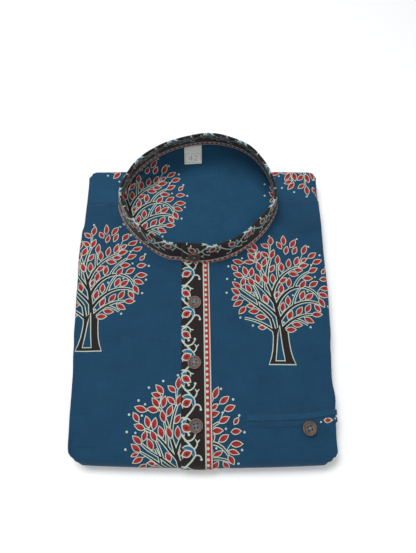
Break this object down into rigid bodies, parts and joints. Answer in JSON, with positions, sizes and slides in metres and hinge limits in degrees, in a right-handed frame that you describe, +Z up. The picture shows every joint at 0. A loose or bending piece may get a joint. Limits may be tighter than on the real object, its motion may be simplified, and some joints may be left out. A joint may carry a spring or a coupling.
{
  "type": "folded kurta tunic",
  "caption": "Cotton kurta tunic with a stand collar, printed placket and welt pocket, folded into a flat packet and lying on a surface.",
  "frame": {"origin": "centre of the packet's footprint, on the surface it lies on", "axes": "+X across the packet to the viewer's right, +Y from the lower fold up to the collar, +Z up"},
  "size_m": [0.2454, 0.3252, 0.0694],
  "materials": {
    "printed_cotton": "plain-weave teal-blue cotton, matt, block printed in red, cream and black",
    "border_cotton": "plain-weave black-brown cotton, matt, block printed with a cream vine and a red dotted stripe",
    "label_tape": "smooth woven white label tape",
    "button_wood": "turned brown coconut shell, satin",
    "thread": "blue sewing thread"
  },
  "bodies": {
    "root": {"folded_layers": "printed_cotton", "front_panel": "printed_cotton", "back_panel": "printed_cotton", "collar_outer": "border_cotton", "collar_inner": "border_cotton", "placket_band": "border_cotton", "pocket_welt_upper": "printed_cotton", "pocket_welt_lower": "printed_cotton", "size_label": "label_tape", "button_collar": "button_wood", "button_1": "button_wood", "button_2": "button_wood", "button_3": "button_wood", "button_pocket": "button_wood"}
  },
  "joints": []
}
